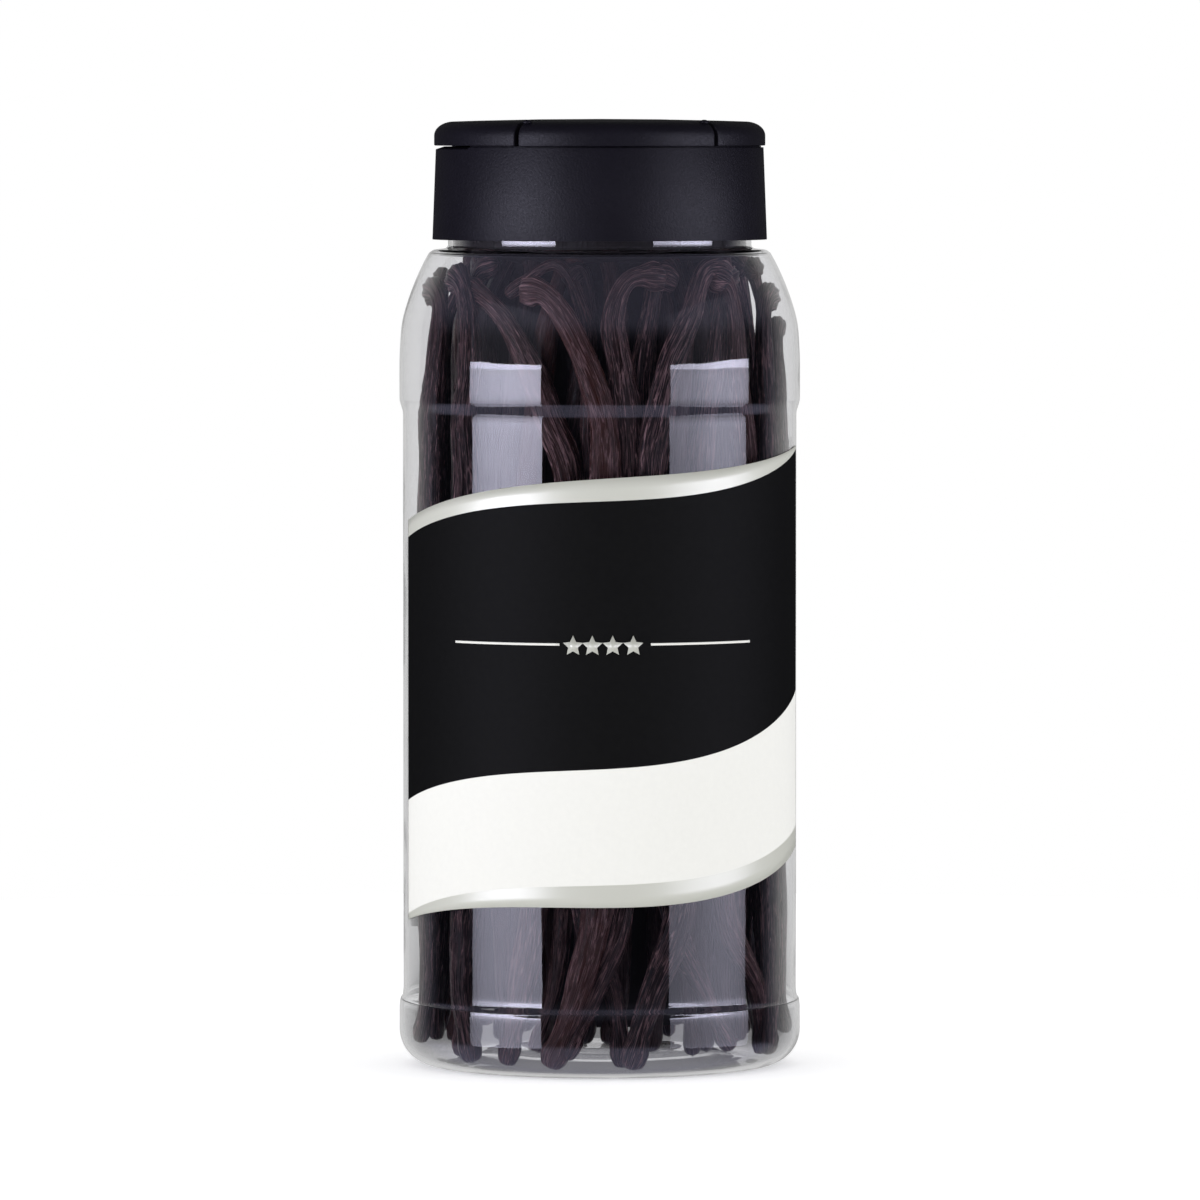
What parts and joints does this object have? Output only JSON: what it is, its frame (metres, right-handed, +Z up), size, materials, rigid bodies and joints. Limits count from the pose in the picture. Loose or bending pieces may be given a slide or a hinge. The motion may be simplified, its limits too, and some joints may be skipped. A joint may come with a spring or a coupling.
{
  "type": "jar of vanilla pods",
  "caption": "Shut clear plastic jar with a black two-flap cap and curved printed labels, filled with upright dark vanilla pods.",
  "frame": {"origin": "middle of the jar's base, on the surface that it stands on", "axes": "+Z up along the jar's axis, -Y towards the front of the label, +X to the right as seen from the front"},
  "size_m": [0.0802, 0.0802, 0.189],
  "materials": {
    "jar_plastic": "clear blown PET, glossy",
    "cap_plastic": "black moulded polypropylene, finely grained",
    "label_film": "black and white printed film with metallic bands",
    "cured_pods": "dark, oily and wrinkled lengthwise"
  },
  "bodies": {
    "root": {"jar": "jar_plastic", "cap": "cap_plastic", "cap_flap_left": "cap_plastic", "cap_flap_right": "cap_plastic", "label_front": "label_film", "label_back": "label_film", "vanilla_pods": "cured_pods"}
  },
  "joints": []
}
